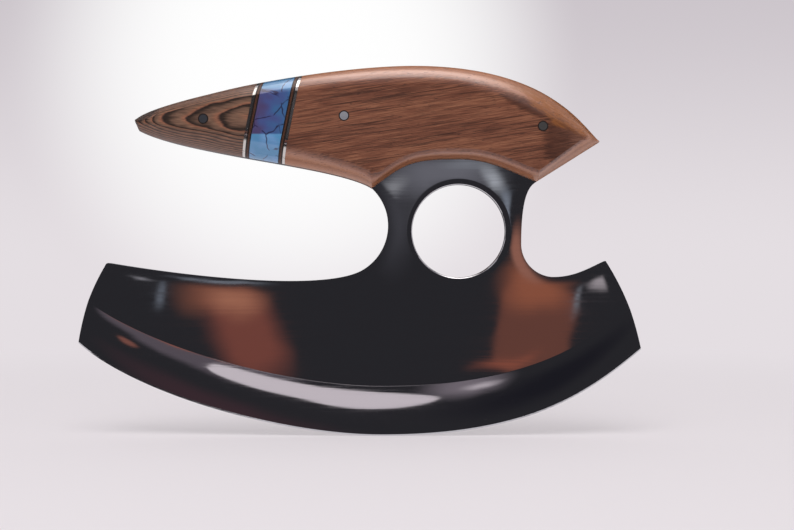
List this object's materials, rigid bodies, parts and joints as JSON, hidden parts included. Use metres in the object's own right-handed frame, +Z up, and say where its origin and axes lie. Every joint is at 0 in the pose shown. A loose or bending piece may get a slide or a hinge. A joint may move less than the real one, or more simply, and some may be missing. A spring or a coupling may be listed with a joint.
{
  "type": "ulu knife",
  "caption": "Crescent-bladed hand knife with a finger hole in its neck and a pointed, pinned wooden handle with an inlaid spacer stack, for rocking cuts.",
  "frame": {"origin": "midway between the toe and the heel of the blade, on the steel's middle plane, at the lowest point of the cutting edge", "axes": "+X from the toe to the heel of the blade, +Y from the front face to the rear face, +Z up from the cutting edge to the handle"},
  "size_m": [0.1778, 0.0194, 0.1165],
  "materials": {
    "polished_steel": "mirror polished stainless steel",
    "main_wood": "oiled and buffed reddish brown wood",
    "tip_wood": "oiled and buffed figured wood",
    "blue_stone": "polished reconstituted stone with a dark web",
    "nickel_silver": "polished nickel silver",
    "black_fibre": "buffed vulcanised fibre",
    "brown_fibre": "buffed vulcanised fibre"
  },
  "bodies": {
    "root": {"blade": "polished_steel", "tip_pin": "polished_steel", "middle_pin": "polished_steel", "heel_pin": "polished_steel", "front_tip_scale": "tip_wood", "front_tip_silver_spacer": "nickel_silver", "front_tip_outer_black_spacer": "black_fibre", "front_tip_brown_spacer": "brown_fibre", "front_tip_inner_black_spacer": "black_fibre", "front_inlay": "blue_stone", "front_main_inner_black_spacer": "black_fibre", "front_main_brown_spacer": "brown_fibre", "front_main_outer_black_spacer": "black_fibre", "front_main_silver_spacer": "nickel_silver", "front_main_scale": "main_wood", "rear_tip_scale": "tip_wood", "rear_tip_silver_spacer": "nickel_silver", "rear_tip_outer_black_spacer": "black_fibre", "rear_tip_brown_spacer": "brown_fibre", "rear_tip_inner_black_spacer": "black_fibre", "rear_inlay": "blue_stone", "rear_main_inner_black_spacer": "black_fibre", "rear_main_brown_spacer": "brown_fibre", "rear_main_outer_black_spacer": "black_fibre", "rear_main_silver_spacer": "nickel_silver", "rear_main_scale": "main_wood"}
  },
  "joints": []
}
